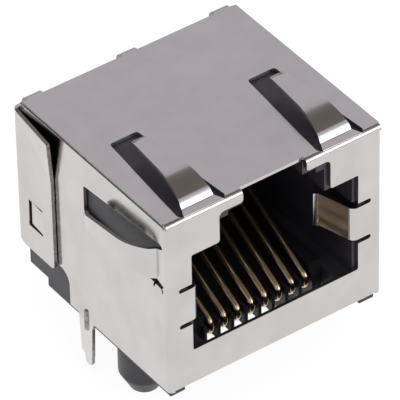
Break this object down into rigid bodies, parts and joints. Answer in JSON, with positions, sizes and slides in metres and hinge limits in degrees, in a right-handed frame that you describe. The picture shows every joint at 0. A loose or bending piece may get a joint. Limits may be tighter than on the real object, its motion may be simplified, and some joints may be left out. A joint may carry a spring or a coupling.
{
  "type": "shielded modular board jack",
  "caption": "Right-angle modular jack in a folded sheet shield with sprung panel fingers, ground tongues, round wire contacts, solder tabs and board posts.",
  "frame": {"origin": "on the circuit board's surface, midway between the axes of the two posts", "axes": "+Z away from the board, -Y out of the plug opening, +X to the right as seen looking into the opening"},
  "size_m": [0.0182, 0.0155, 0.0185],
  "materials": {
    "shield_plate": "nickel plating",
    "housing_plastic": "fine moulded",
    "carrier_plastic": "fine moulded",
    "contact_wire": "gold plating"
  },
  "bodies": {
    "root": {"shield": "shield_plate", "housing": "housing_plastic", "contact_carrier": "carrier_plastic", "contact_1": "contact_wire", "contact_2": "contact_wire", "contact_3": "contact_wire", "contact_4": "contact_wire", "contact_5": "contact_wire", "contact_6": "contact_wire", "contact_7": "contact_wire", "contact_8": "contact_wire"}
  },
  "joints": []
}
